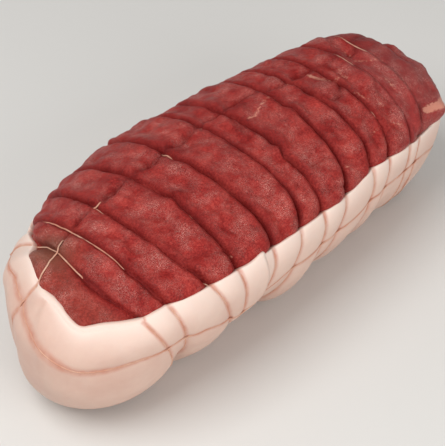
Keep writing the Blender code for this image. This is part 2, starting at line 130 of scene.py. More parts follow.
# The lengthwise strings' places across the joint and below the rim, as shares of its half width and of the
# fat's depth: the crest string at these tie numbers, and both on the round face of the blunt end.
CREST_STRING_TIES = (0, 0.4, 1.2, 2, 6.5, 7.2, 9, 10.4, 11)
CREST_STRING_SIDES = (0.56, 0.45, 0.31, 0.26, 0.28, 0.2, 0.155, 0.07, 0.12)
UNDER_STRING_SIDE = 0.195
BELT_STRING_LEVEL = -0.24
BELT_STRING_TIES = (0, 1.4, 2.2, 4, 4.6, 11)              # and on the near side at these tie numbers
NEAR_BELT_LEVELS = (-0.29, -0.265, -0.38, -0.38, -0.27, -0.25)
KNOT_SIDE, KNOT_LEVEL = 0.18, -0.08       # where they cross on the blunt end
BLUNT_CREST_UP = (-0.8, -0.28, KNOT_LEVEL, 0.37, 0.7)
BLUNT_CREST_SIDES = (0.195, 0.22, KNOT_SIDE, 0.337, 0.53)
BLUNT_BELT_ACROSS = (-0.95, -0.7, -0.36, 0, KNOT_SIDE, 0.5, 0.95)
BLUNT_BELT_LEVELS = (-0.29, -0.22, -0.16, -0.1, KNOT_LEVEL, -0.1, -0.2)


def ease(share):
    """A share from 0 to 1, with a soft start and a soft end."""
    share = np.clip(share, 0, 1)
    return share * share * (3 - 2 * share)


def bump(value, centre, spread):
    """A smooth hump, 1 at the centre."""
    return np.exp(-(((value - centre) / spread) ** 2))


def crease(distance, width):
    """1 in the bottom of a sharp fold, falling off on both sides."""
    return np.exp(-np.abs(distance) / width)


def outline(x):
    """The section at station x: half width, rise, drop, side and height shifts, the underside's bend."""
    share = x / (LENGTH / 2)
    into_near = np.clip((NEAR_CAP - (x + LENGTH / 2)) / NEAR_CAP, 0, 1)
    into_far = np.clip((FAR_CAP - (LENGTH / 2 - x)) / FAR_CAP, 0, 1)
    round_off = (1 - into_near ** NEAR_CAP_POWER) ** (1 / NEAR_CAP_POWER)
    round_off = round_off * (1 - into_far ** FAR_CAP_POWER) ** (1 / FAR_CAP_POWER)
    half = HALF_WIDTH * (1 + WIDTH_TAPER * share + WIDTH_BARREL * share ** 2) * round_off
    rise = CREST_RISE * (1 + CREST_BARREL * share ** 2) * round_off
    under_near = np.clip((UNDER_CAP - (x + LENGTH / 2)) / UNDER_CAP, 0, 1)
    under_off = (1 - under_near ** UNDER_CAP_POWER) ** (1 / UNDER_CAP_POWER)
    drop = BELLY_DROP * np.where(into_near > 0, under_off * (1 - UNDER_LIFT * into_near ** 2), round_off)
    shift = END_BEND * share ** 2 + NEAR_END_BEND * into_near ** 2
    return half, rise, drop, shift, -NEAR_CAP_DROP * into_near ** 2, UNDER_BEND * into_near


def outside(points):
    """Below zero inside the plain body, zero on its skin, above zero outside."""
    x = np.clip(points[:, 0], -LENGTH * JUST_INSIDE, LENGTH * JUST_INSIDE)
    half, rise, drop, shift, sink, bend = outline(x)
    z = points[:, 2] - sink
    height = np.where(z > 0, rise, drop)
    side = points[:, 1] - shift - bend * np.clip(-z / BELLY_DROP, 0, 1)
    level = (np.abs(side) / half) ** SIDE_POWER + (np.abs(z) / height) ** DOME_POWER - 1
    return np.where(np.abs(points[:, 0]) > LENGTH / 2, PAST_THE_TIPS, level)


def body_angle(turn):
    """The tie table's angle for a turn about the rim's middle."""
    turn = np.mod(turn, 360)
    over = NEAR_RIM_ANGLE - FAR_RIM_ANGLE
    above, below = FAR_RIM_ANGLE + turn * over / 180, NEAR_RIM_ANGLE + (turn - 180) * (360 - over) / 180
    return np.where(turn <= 180, above, below)


def waves(angle):
    """The five smooth curves round the section that a tie's five places are joined with."""
    angle = np.radians(angle)
    once, twice = [np.cos(angle), np.sin(angle)], [np.cos(2 * angle), np.sin(2 * angle)]
    return np.stack([np.ones_like(angle)] + once + twice, -1)


TIE_WAVES = np.linalg.solve(waves(np.array(TIE_ANGLES, float)), np.array(TIES, float).T) * MM


def station(tie, turn):
    """Distance along the joint of a place given as a tie number and a turn."""
    tie = np.clip(tie, 0, LAST_TIE)
    low = np.clip(np.floor(tie).astype(int), 0, LAST_TIE - 1)
    across = waves(body_angle(turn)) @ TIE_WAVES
    rows = np.arange(len(turn))
    return across[rows, low] + (across[rows, low + 1] - across[rows, low]) * (tie - low)


def rim_height(x, turn):
    """The rim's height at this station and side."""
    stations, near, far = (np.array(column, float) * MM for column in zip(*RIM))
    to_far = 0.5 + 0.5 * np.cos(np.radians(turn))
    return np.interp(x, stations, near) * (1 - to_far) + np.interp(x, stations, far) * to_far


def bay_curve(tie):
    """The bay that a place is in, and how far it is up the swell of that bay: 0 on a tie, 1 mid-bay."""
    bay = np.floor(tie).astype(int) + 1
    inside = tie - np.floor(tie)
    up = 1 - np.abs(2 * inside - 1) ** SWELL_POWER
    past_near = tie < 0
    past_far = tie > LAST_TIE
    up = np.where(past_near, 1 - (1 + np.minimum(tie, 0)) ** SWELL_POWER, up)
    up = np.where(past_far, 1 - (1 - np.maximum(tie - LAST_TIE, 0)) ** SWELL_POWER, up)
    bay = np.clip(np.where(past_near, 0, np.where(past_far, LAST_TIE + 1, bay)), 0, LAST_TIE + 1)
    return bay, np.clip(up, 0, 1)


def past_ties(tie):
    """0 between the outer ties, growing to 1 at the tips of the joint."""
    return np.clip(np.maximum(-tie, tie - LAST_TIE), 0, 1)


def rays(tie, turn):
    """Start points and directions of the rays that place the skin: level rays meet it at the rim."""
    beyond = np.clip(tie - LAST_TIE, 0, 1) - np.clip(-tie, 0, 1)
    tip = np.abs(beyond) * math.pi / 2
    to_end = np.sin(tip) ** 2
    level = np.full_like(turn, 90.0)
    ends = station(np.where(beyond > 0, float(LAST_TIE), 0.0), level)
    x = station(tie, turn)
    height = rim_height(x, turn)
    height = height + (rim_height(ends, level) - height) * to_end ** RIM_TO_TIP
    near = (0.5 - 0.5 * np.cos(np.radians(turn))) ** 2 * (beyond < 0)
    near = near * ease(3 * to_end) * ease(3 * (1 - to_end))
    height = height - RIM_DIP * bump(to_end, DIP_PLACE, DIP_SPREAD) * near
    x = x + (ends - x) * to_end
    starts = np.stack([x, outline(x)[3], height], -1)
    around = np.radians(turn)
    up = np.sin(around) * np.where(np.sin(around) > 0, RAY_RISE, RAY_DROP)
    along = np.sign(beyond) * np.sin(tip) * RAY_REACH
    return starts, np.stack([along, np.cos(tip) * np.cos(around) * HALF_WIDTH, np.cos(tip) * up], -1)


def plain_skin(tie, turn):
    """Where the rays meet the plain body, the directions out of it there, and the rim's height."""
    starts, ways = rays(tie, turn)
    near, far = np.zeros(len(tie)), np.full(len(tie), RAY_LIMIT)
    for _ in range(RAY_HALVINGS):
        middle = (near + far) / 2
        inside = outside(starts + ways * middle[:, None]) < 0
        near, far = np.where(inside, middle, near), np.where(inside, far, middle)
    points = starts + ways * near[:, None]
    step = 0.5 * MM
    slopes = [outside(points + step * axis) - outside(points - step * axis) for axis in np.eye(3)]
    out = np.stack(slopes, -1)
    return points, out / np.linalg.norm(out, axis=1, keepdims=True), starts[:, 2]


def swelling(tie, turn):
    """How far the ties make the skin stand out of the plain body, or draw it in."""
    bay, up = bay_curve(tie)
    angle = body_angle(turn)
    past = past_ties(tie)
    hold = 1 - past ** 2
    flank = bump(angle, FLANK_ANGLE, FLANK_SPREAD) * hold
    shoulder = bump(np.mod(angle + 180, 360), SHOULDER_ANGLE + 180, SHOULDER_SPREAD) * hold
    below = np.clip(-np.sin(np.radians(turn)), 0, 1) ** 3 * hold
    crown = np.where(np.mod(turn, 360) <= 180, 1.0, np.clip(1 - 3 * below - flank, 0, 1))
    rise = up * (np.array(CROWN_SWELL)[bay] * crown + np.array(FLANK_SWELL)[bay] * flank) * MM
    ties = range(LAST_TIE + 1)
    held = np.clip(tie, 0, LAST_TIE)
    bite = np.interp(held, ties, FLANK_BITE) * flank + np.interp(held, ties, SHOULDER_BITE) * shoulder
    across, height = (1 - past) * np.cos(np.radians(turn)), (1 - past) * np.sin(np.radians(turn))
    dent = bump(across, KNOT_ACROSS, KNOT_SPREAD) * bump(height, KNOT_UP, KNOT_SPREAD) * ease(-2 * tie)
    corner = bump(across, CORNER_ACROSS, CORNER_SPREAD) * bump(height, CORNER_UP, CORNER_SPREAD)
    corner = corner * ease(-3 * tie)
    rise = rise + up * BELLY_SWELL * below + bite * np.clip(1 - past * 2, 0, 1) * MM
    return rise + CORNER_SWELL * corner - KNOT_DENT * dent


def proud(tie, turn):
    """How far the front sheet stands out over the plain skin as it comes to the seam."""
    to_seam = station(np.full_like(tie, SHEET_SEAM), turn) - station(tie, turn)
    near_side = 0.5 - 0.5 * np.cos(np.radians(turn))
    return FRONT_SHEET_PROUD * near_side * ease(1 - to_seam / PROUD_RUN)


# ---- Finer relief: where the string lies, and how meat and fat give way to it ---------------------------
# Seeds of the uneven patterns; a list of lumps counts on from its own.
MEAT_FOLD_SEED, MEAT_LUMPS_SEED, UNEVEN_SEED = 1, 2, 5
TIE_WANDER_SEED, FAT_LUMPS_SEED, CREST_WANDER_SEED = 6, 7, 9
SEED_SHIFT = (3.1, 1.7, 2.3)  # each seed moves its pattern on by this many lumps
RIM_SINE = 1e-6               # a place is on the rim where the sine of its turn is no further from zero
TIE_CREASES = (1.8, 2.2, 3.4, 3.8, 4.2, 3.8, 3.6, 4.0, 3.4, 3.0, 1.2, 0.6)    # on the meat, in millimetres
TIE_CREASE_WIDTH = 1.4 * MM
CREST_CREASE, CREST_CREASE_WIDTH = 4.0 * MM, 2.0 * MM
CREASE_WANDERS = ((16 * MM, 2.0 * MM), (5 * MM, 0.9 * MM))      # size and reach of the bends in each crease
CREASE_UNEVEN, CREASE_UNEVEN_SIZE = 1.6, 26 * MM
LIGHTEST_BITE, HARDEST_BITE = 0.25, 1.8
# Size and height of the meat's lumps, from its broad swells down to its fibres.
MEAT_LUMPS = ((20 * MM, 2.6 * MM), (12 * MM, 1.3 * MM), (9 * MM, 1.0 * MM), (4 * MM, 0.5 * MM),
              (2.4 * MM, 0.2 * MM))
LUMPS_BY_A_TIE = 0.35         # share of their height that they keep beside a string
MEAT_FOLD_SIZE, MEAT_FOLD_DEPTH, MEAT_FOLD_SHARPNESS = 24 * MM, 0.7 * MM, 6
# Folds in the meat between the strings: depth and width in millimetres, then the places the fold runs by.
FOLDS = (
    (2.4, 1.6, ((0.2, 150), (0.45, 128), (0.3, 108))),
    (2.2, 1.6, ((1.61, 102), (1.49, 109), (1.7, 122))),
    (2.0, 1.8, ((2.17, 141), (2.66, 150), (3.22, 160))),
    (1.6, 1.4, ((2.3, 96), (2.6, 104), (2.55, 116))),
    (1.8, 1.6, ((4.14, 120), (4.31, 129), (4.57, 134))),
    (1.4, 1.2, ((3.27, 135), (3.37, 144))),
    (1.4, 1.6, ((3.4, 118), (3.7, 126), (3.6, 140))),
    (2.2, 1.8, ((6.28, 132), (6.68, 132), (6.8, 136))),
    (2.2, 1.8, ((6.14, 156), (6.55, 162), (7.03, 168))),
    (2.0, 1.6, ((9.15, 144), (9.01, 172))),
    (1.8, 1.4, ((5.95, 78), (5.75, 86), (5.6, 96))),
    (1.4, 1.4, ((5.2, 120), (5.5, 126), (5.45, 140))),
    (1.6, 1.4, ((7.5, 108), (7.35, 118), (7.5, 128))),
    (3.0, 1.6, ((8.73, 88), (9.0, 96), (8.66, 103), (8.25, 104), (8.12, 97))),
    (2.6, 1.6, ((9.5, 84), (9.35, 93), (9.2, 104))),
    (2.4, 1.6, ((10.0, 103), (9.7, 112), (9.85, 122))),
    (4.2, 1.8, ((11.05, 136), (10.94, 150), (10.9, 174))),
    (4.5, 2.4, ((11.62, 52), (11.5, 70), (11.3, 88), (11.25, 104))),
    (2.2, 1.6, ((10.9, 60), (10.6, 72), (10.45, 84))),
)
# Lobes that stand out of the meat: height and spread in millimetres, and the place.
LOBES = (
    (6.5, 5, (3.05, 100)),
    (2.8, 8, (8.45, 97)),
    (1.8, 7, (6.5, 144)),
    (3.5, 9, (0.45, 25)),
    (3.0, 7, (1.5, 84)),
    (3.0, 5, (1.85, 118)),
    (4.0, 5, (5.95, 110)),
    (3.5, 6, (7.1, 96)),
    (1.5, 9, (5.5, 84)),
    (2.5, 9, (10.9, 70)),
    (2.0, 7, (9.75, 104)),
)
# A flap of meat hangs over the fat at the far end, and every swell hangs over it a little on the near side,
# from this turn on and above the rim.
FLAP_PLACE, FLAP_HEIGHT, FLAP_SPREAD = (11.3, 158), 7.5 * MM, 7.5 * MM
HANG, HANG_LEVEL, HANG_SPREAD = 2.4 * MM, 8 * MM, 7 * MM
HANG_TURN, HANG_TURN_RUN = 120, 30
HANG_BALANCE = 0.3            # how far up a swell the meat neither hangs over nor draws back
HANG_EASE = 1 * MM
# A membrane smooths the far end from this tie and this turn on.
SMOOTH_FROM, SMOOTH_RUN, SMOOTH_FILL = 9.3, 0.8, 1.2 * MM
SMOOTH_TURN, SMOOTH_TURN_RUN = 76, 24
VALLEY_FILL = 1.3 * MM        # the meat fills the valley along each string by this
BAY_FULLNESS = 1.5            # how much further the meat fills each bay before it dips to the string
RIM_EASE = 4 * MM             # the meat's relief grows over this height above the rim
WALL_HEIGHT = 9 * MM          # the meat comes straight up out of the fat for about this height
WALL_OVERLAP = 0.6 * MM
WALL_BOW = 0.35               # share of the inset by which that wall bulges at half its height

FAT_PINCH, FAT_PINCH_WIDTH = 0.4 * MM, 5 * MM
FAT_CREASE, FAT_CREASE_WIDTH = 0.4 * MM, 1.2 * MM
BELT_PINCH, BLUNT_BELT_PINCH, BELT_PINCH_WIDTH = 0.4 * MM, 1.6 * MM, 8 * MM
END_CREST_PINCH, END_CREST_PINCH_WIDTH = 1.5 * MM, 7 * MM
FAT_EVENNESS, EVEN_LEVEL = 1.8 * MM, 0.7      # the fat swells less between the strings than the meat does
FAT_LUMPS = ((45 * MM, 1.0 * MM), (14 * MM, 0.25 * MM))
LUMPS_AT_RIM, RIM_FADE = 0.4, 5           # share of their height there, and how quickly the rest comes in
UNDER_CHANNEL, UNDER_CHANNEL_WIDTH = 4 * MM, 6 * MM
UNDERSIDE = -0.5              # sine of the turn below which a place is underneath
# The fat's rounded edge: how far it stands above the rim, and how thick it is, round the blunt end and
# along the sides. One changes into the other from this tie number on, within this many bays, and on the
# far side within this share of the half width.
BLUNT_LIP_RISE, SIDE_LIP_RISE = 3.0 * MM, 0.8 * MM
BLUNT_LIP_THICK, SIDE_LIP_THICK = 7.0 * MM, 3.6 * MM
LIP_CHANGE_FROM, LIP_CHANGE, LIP_FAR = -0.3, 1.6, 0.7
SHEET_END_RISE, SHEET_END_RUN = 3.0 * MM, 14 * MM         # the front sheet stands up where it ends


def to_tie(points, tie, turn):
    """Distance over the skin from the nearest tie, below zero on its blunt-end side, and its number."""
    low = np.clip(np.floor(tie), 0, LAST_TIE)
    high = np.clip(low + 1, 0, LAST_TIE)
    here = station(tie, turn)
    from_low, from_high = here - station(low, turn), station(high, turn) - here
    outer = past_ties(tie) > 0
    end = np.where(tie < 0, 0.0, LAST_TIE)
    beyond = np.zeros(len(tie))
    if outer.any():
        beyond[outer] = np.linalg.norm(points[outer] - plain_skin(end[outer], turn[outer])[0], axis=1)
    nearest = np.where(from_high < from_low, high, low)
    gap = np.where(from_high < from_low, -from_high, from_low)
    return np.where(outer, beyond, gap), np.where(outer, end, nearest).astype(int)


def cap_spot(tie, turn):
    """The place seen along the joint: across and up, each 1 at the section's edge, less over the ends."""
    reach = 1 - past_ties(tie)
    around = np.radians(turn)
    return reach * np.cos(around), reach * np.sin(around)


def crest_side(tie, up):
    """Where the crest string runs across the joint."""
    top = np.interp(np.clip(tie, 0, LAST_TIE), CREST_STRING_TIES, CREST_STRING_SIDES)
    side = np.where(up > 0, top, UNDER_STRING_SIDE)
    side = np.where(tie < 0, np.interp(up, BLUNT_CREST_UP, BLUNT_CREST_SIDES), side)
    return np.where(tie > LAST_TIE, UNDER_STRING_SIDE, side)


def to_crest(tie, turn):
    """Distance across the joint from the crest string."""
    across, up = cap_spot(tie, turn)
    return (across - crest_side(tie, up)) * HALF_WIDTH


def to_belt(tie, turn):
    """Distance up the side from the belt string."""
    across, up = cap_spot(tie, turn)
    near = np.interp(np.clip(tie, 0, LAST_TIE), BELT_STRING_TIES, NEAR_BELT_LEVELS)
    level = np.where((across < 0) & (tie <= LAST_TIE), near, BELT_STRING_LEVEL)
    level = np.where(tie < 0, np.interp(across, BLUNT_BELT_ACROSS, BLUNT_BELT_LEVELS), level)
    return (up - level) * RAY_DROP


def lumps(points, size, seed):
    """Smooth uneven relief of that lump size, from about -1 to 1."""
    shift = Vector([seed * lump for lump in SEED_SHIFT])
    return np.array([noise.noise(Vector(point) / size + shift) for point in points])


def spots_at(places):
    """Points of the plain skin at these pairs of tie number and turn."""
    tie, turn = np.array(places, float).T
    return plain_skin(tie, turn)[0]


def from_line(points, places):
    """Distance of each point from the line that runs by these places."""
    line = spots_at(places)
    nearest = np.full(len(points), np.inf)
    for start, end in zip(line[:-1], line[1:]):
        run = end - start
        share = np.clip((points - start) @ run / (run @ run), 0, 1)
        nearest = np.minimum(nearest, np.linalg.norm(points - start - share[:, None] * run, axis=1))
    return nearest


def wander(points, seed):
    """How far a crease strays here from the string that makes it."""
    return sum(reach * lumps(points, size, seed + size / MM) for size, reach in CREASE_WANDERS)


def unevenness(points):
    """How hard the strings bite into the meat here: from hardly at all to nearly twice the usual."""
    bite = 1 + CREASE_UNEVEN * lumps(points, CREASE_UNEVEN_SIZE, UNEVEN_SEED)
    return np.clip(bite, LIGHTEST_BITE, HARDEST_BITE)


def meat_relief(points, tie, turn):
    """Creases under the strings, folds and lobes of muscle between them, and the meat's soft lumps."""
    gap, number = to_tie(points, tie, turn)
    bay, up = bay_curve(tie)
    hold = 1 - past_ties(tie) ** 2
    uneven = unevenness(points)
    gap = gap + wander(points, TIE_WANDER_SEED)
    sink = np.array(TIE_CREASES)[number] * MM * crease(gap, TIE_CREASE_WIDTH)
    to_line = to_crest(tie, turn) + wander(points, CREST_WANDER_SEED)
    sink = sink + CREST_CREASE * crease(to_line, CREST_CREASE_WIDTH) * up
    beside_fold = np.clip(np.abs(lumps(points, MEAT_FOLD_SIZE, MEAT_FOLD_SEED)) * MEAT_FOLD_SHARPNESS, 0, 1)
    relief = -MEAT_FOLD_DEPTH * (1 - beside_fold)
    for seed, (size, height) in enumerate(MEAT_LUMPS, MEAT_LUMPS_SEED):
        relief = relief + height * lumps(points, size, seed)
    fuller = BAY_FULLNESS * (1 - (1 - up) ** 3 - up) * np.array(CROWN_SWELL)[bay] * MM
    relief = relief * (LUMPS_BY_A_TIE + (1 - LUMPS_BY_A_TIE) * up) + fuller
    for depth, width, places in FOLDS:
        relief = relief - depth * MM * crease(from_line(points, places), width * MM)
    for height, spread, place in LOBES:
        away = np.linalg.norm(points - spots_at([place]), axis=1)
        relief = relief + height * MM * bump(away, 0, spread * MM)
    relief = relief + (VALLEY_FILL + SMOOTH_FILL * membrane(tie, turn)) * (1 - up) * hold
    return relief - sink * hold * uneven


def membrane(tie, turn):
    """1 where the smooth membrane of the far end covers the meat."""
    return ease((tie - SMOOTH_FROM) / SMOOTH_RUN) * ease((turn - SMOOTH_TURN) / SMOOTH_TURN_RUN)


def overhang(points, tie, turn, above):
    """How far the swells, and the one loose flap, stand out over the fat along the near side."""
    up = bay_curve(tie)[1]
    near = ease((turn - HANG_TURN) / HANG_TURN_RUN) * (1 - past_ties(tie))
    flap = bump(np.linalg.norm(points - spots_at([FLAP_PLACE]), axis=1), 0, FLAP_SPREAD)
    return HANG * (up - HANG_BALANCE) * bump(above, HANG_LEVEL, HANG_SPREAD) * near + FLAP_HEIGHT * flap


def fat_relief(points, tie, turn):
    """The strings' soft grooves in the fat, over its faint unevenness."""
    gap, _ = to_tie(points, tie, turn)
    belt, crest = to_belt(tie, turn), to_crest(tie, turn)
    below_rim = np.clip(-np.sin(np.radians(turn)) * RIM_FADE, 0, 1)
    groove = FAT_PINCH * bump(gap, 0, FAT_PINCH_WIDTH) + FAT_CREASE * crease(gap, FAT_CREASE_WIDTH)
    belt_pinch = BELT_PINCH + (BLUNT_BELT_PINCH - BELT_PINCH) * ease(-2 * tie)
    groove = groove + belt_pinch * bump(belt, 0, BELT_PINCH_WIDTH)
    groove = groove + FAT_CREASE * crease(belt, FAT_CREASE_WIDTH)
    along = END_CREST_PINCH * bump(crest, 0, END_CREST_PINCH_WIDTH)
    along = along + FAT_CREASE * crease(crest, FAT_CREASE_WIDTH)
    groove = groove + along * ease(2 * past_ties(tie))
    sizes = enumerate(FAT_LUMPS, FAT_LUMPS_SEED)
    soft = sum(height * lumps(points, size, seed) for seed, (size, height) in sizes)
    return soft * (LUMPS_AT_RIM + (1 - LUMPS_AT_RIM) * below_rim) - groove


def lay_down(points, tie, turn):
    """Flattens the belly on the table, with its channel for the string underneath."""
    up = bay_curve(tie)[1]
    floor = TABLE + UNDER_TIE * (1 - ease(up / SETTLED_SHARE)) + END_LIFT * ease(2 * past_ties(tie))
    over = np.clip((points[:, 2] - floor) / SETTLE, -1, 1)
    points[:, 2] = np.where(over < 1, floor + SETTLE * (over + 1) ** 2 / 4, points[:, 2])
    low = ease((TABLE + 2 * UNDER_CHANNEL - points[:, 2]) / UNDER_CHANNEL)
    low = low * (np.sin(np.radians(turn)) < UNDERSIDE)
    points[:, 2] += UNDER_CHANNEL * bump(to_crest(tie, turn), 0, UNDER_CHANNEL_WIDTH) * low
    return points


def lip(tie, turn, blunt, side):
    """A size of the fat's edge: one value round the blunt end's near half, another everywhere else."""
    across = cap_spot(tie, turn)[0]
    along = ease(1 - (tie - LIP_CHANGE_FROM) / LIP_CHANGE)
    return side + (blunt - side) * along * ease((LIP_FAR - across) / LIP_FAR)


def level_out(out):
    """The ways out of the joint, laid level."""
    flat = out * np.array([1, 1, 0])
    return flat / np.linalg.norm(flat, axis=1, keepdims=True)


def lean_skin(tie, turn):
    """The meat: its own relief above the rim, then straight in to the fat's inner edge and on inside it."""
    plain, out, rim = plain_skin(tie, turn)
    dome = np.sin(np.radians(turn)) > -RIM_SINE
    relief = np.zeros(len(tie))
    relief[dome] = meat_relief(plain[dome], tie[dome], turn[dome])
    points = plain + out * swelling(tie, turn)[:, None]
    above = points[:, 2] - rim
    relief = relief * ease(above / RIM_EASE)
    hang = overhang(plain[dome], tie[dome], turn[dome], above[dome])
    relief[dome] += hang * ease(above[dome] / HANG_EASE)
    points = points + out * relief[:, None]
    wall = np.clip(1 - above / WALL_HEIGHT, 0, 1)
    thick = lip(tie, turn, BLUNT_LIP_THICK, SIDE_LIP_THICK)
    inset = (thick - WALL_OVERLAP) * wall * (1 - WALL_BOW * np.sin(math.pi * wall))
    points = points - level_out(out) * np.where(dome, inset, 0)[:, None]
    points = points - out * np.where(dome, 0, FAT_THICK - WALL_OVERLAP)[:, None]
    points[:, 2] -= np.where(dome, LIP_DIP * wall, 0)
    return np.where(dome[:, None], points, lay_down(points, tie, turn)), out


def fat_skin(tie, turn, depth, front):
    """The fat's skin: depth 0 outside, 1 against the meat, and between them the rounded lip."""
    plain, out, _ = plain_skin(tie, turn)
    swell = swelling(tie, turn)
    relief = fat_relief(plain, tie, turn)
    stand = proud(tie, turn) if front else np.zeros(len(tie))
    up = bay_curve(tie)[1]
    even = FAT_EVENNESS * (EVEN_LEVEL - up) * (1 - past_ties(tie))
    outer = plain + out * (swell + relief + stand + even)[:, None]
    at_rim = np.abs(np.sin(np.radians(turn))) < RIM_SINE
    inner = plain + out * (swell - FAT_THICK)[:, None]
    thick = lip(tie, turn, BLUNT_LIP_THICK, SIDE_LIP_THICK)
    level = plain + out * swell[:, None] - level_out(out) * thick[:, None]
    inner = np.where(at_rim[:, None], level, inner)
    outer, inner = lay_down(outer, tie, turn), lay_down(inner, tie, turn)
    inner[:, 2] += np.where(at_rim, 0, FAT_THICK * ease((TABLE + FAT_THICK - inner[:, 2]) / FAT_THICK))
    inner[:, 2] -= np.where(at_rim, LIP_DIP, 0)
    points = outer + (inner - outer) * depth[:, None]
    rise = lip(tie, turn, BLUNT_LIP_RISE, SIDE_LIP_RISE)
    if front:
        to_seam = station(np.full_like(tie, SHEET_SEAM), turn) - station(tie, turn)
        rise = rise + SHEET_END_RISE * ease(1 - to_seam / SHEET_END_RUN) * (turn > 90)
    points[:, 2] += np.where(at_rim, rise * np.sqrt(np.clip(1 - (2 * depth - 1) ** 2, 0, 1)), 0)
    return points


# ---- Where the body stands in the frame -----------------------------------------------------------------
SHARED_TIES, SHARED_TURN = (5, 6, 7, 8, 9, 10), 225      # corners that the part's rear fat has here too


def body_shift():
    """The part stands under the middle of its box: this finds that move from the rear fat's own corners."""
    ties, turns = np.array(SHARED_TIES, float), np.full(len(SHARED_TIES), float(SHARED_TURN))
    plain, out, _ = plain_skin(ties, turns)
    points = plain + out * swelling(ties, turns)[:, None] + np.array([0, 0, -TABLE])
    corners = np.array([vertex.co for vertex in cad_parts["fat_cover_rear"].data.vertices])
    moves = [corners[np.argmin(np.linalg.norm(corners - point, axis=1))] - point for point in points]
    return np.median(moves, axis=0) + np.array([0, 0, -TABLE])


SHIFT = body_shift()


# ---- Meshes ---------------------------------------------------------------------------------------------
# Row pitch along the joint, and cuts across it, below the rim and above it.
LEAN_PITCH, LEAN_ACROSS, LEAN_LOWER, LEAN_UPPER = 1.25 * MM, 88, 3, 26
FAT_PITCH, FAT_ACROSS, FAT_LOWER, FAT_UPPER = 1.5 * MM, 44, 56, 2
CAP_EDGE = 0.6                # the rows reach this far over each end, the grid on its tip does the rest
NEAR_CAP_ROWS, FAR_CAP_ROWS = 44, 26
LIP_CUTS = 7
ROW_CROWDING = 0.07           # how much closer together the rows lie beside a tie, as a share of the bay
BOX_SIDE = 2                  # the box that a cage starts from runs from -1 to 1
NEARLY = 1e-4                 # tie numbers, or places of that box, closer than this are the same


def bay_rows(bay, pitch):
    """Rows across one bay, closer together beside its two ties."""
    width = (TIES[bay + 1][0] - TIES[bay][0]) * MM
    count = round(width / pitch)
    even = np.arange(count) / count
    return bay + even - ROW_CROWDING * np.sin(2 * math.pi * even)


def tie_rows(pitch):
    """Tie numbers of the rows from end to end, short of the grids that close the two tips."""
    near = -np.linspace(CAP_EDGE, 0, NEAR_CAP_ROWS, endpoint=False)
    far = LAST_TIE + np.linspace(CAP_EDGE, 0, FAR_CAP_ROWS, endpoint=False)[::-1]
    return np.concatenate([near, *[bay_rows(bay, pitch) for bay in range(LAST_TIE)], [LAST_TIE], far])


def cage(rows, across_cuts, lower_cuts, upper_cuts):
    """A box cut into rows, with each vertex's tie number and turn; the rim runs along grid lines."""
    mesh = bmesh.new()
    bmesh.ops.create_cube(mesh, size=BOX_SIDE)
    for axis, parts in enumerate((len(rows) - 1, across_cuts, lower_cuts + upper_cuts)):
        spans = [(edge, abs(edge.verts[0].co[axis] - edge.verts[1].co[axis])) for edge in mesh.edges]
        runs = [edge for edge, span in spans if span > BOX_SIDE - NEARLY]
        bmesh.ops.subdivide_edges(mesh, edges=runs, cuts=parts - 1, use_grid_fill=True)
    box = np.array([vertex.co for vertex in mesh.verts])
    across = box[:, 1]
    step = np.round((box[:, 2] + 1) / 2 * (lower_cuts + upper_cuts))
    up = np.where(step <= lower_cuts, step / lower_cuts - 1, (step - lower_cuts) / upper_cuts)
    reach = np.maximum(np.abs(across), np.abs(up))
    safe = np.maximum(reach, 1e-9)
    turn = np.where(
        np.abs(up) >= np.abs(across),
        np.where(up > 0, 90 - 45 * across / safe, 270 + 45 * across / safe),
        np.where(across > 0, 45 * up / safe, 180 - 45 * up / safe),
    )
    turn = np.mod(np.round(np.where(reach < 1e-6, 180, turn), 6), 360)
    tie = np.interp(box[:, 0], np.linspace(-1, 1, len(rows)), rows)
    tie = np.where(box[:, 0] < NEARLY - 1, -1 + reach * (1 + rows[0]), tie)
    tie = np.where(box[:, 0] > 1 - NEARLY, LAST_TIE + 1 - reach * (LAST_TIE + 1 - rows[-1]), tie)
    return mesh, tie, turn


def finished(name, mesh, points, material, replaced, traits=()):
    """Turns the mesh into a piece of the joint, its vertices at these points of the body."""
    for vertex, point in zip(mesh.verts, points + SHIFT):
        vertex.co = point
    bmesh.ops.recalc_face_normals(mesh, faces=mesh.faces)
    data = bpy.data.meshes.new(name)
    mesh.to_mesh(data)
    mesh.free()
    data.shade_smooth()
    data.materials.append(material)
    for trait, values in dict(traits).items():
        column = data.attributes.new(trait, "FLOAT", "POINT")
        column.data.foreach_set("value", np.asarray(values, np.float32))
    piece = bpy.data.objects.new(name, data)
    bpy.context.scene.collection.objects.link(piece)
    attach(piece, "root")
    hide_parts(replaced)


# What the meat's colours follow: the painted shade of the grooves, the air-browned corner, the dull rest
# of the blunt end, and the seams.
GROOVE_WIDTH, CREST_GROOVE_WIDTH = 1.6 * MM, 1.8 * MM
DARKEST_GROOVE = 1.2
MEMBRANE_HIDES = 0.55         # share of a groove's painted shade that the membrane takes away
FOLD_SHADE = 0.28             # darkness of a fold for each millimetre of its depth
AGED_PLACE, AGED_ALONG, AGED_ACROSS = (-0.05, 44), 13 * MM, 19 * MM
DULL_END = 0.3
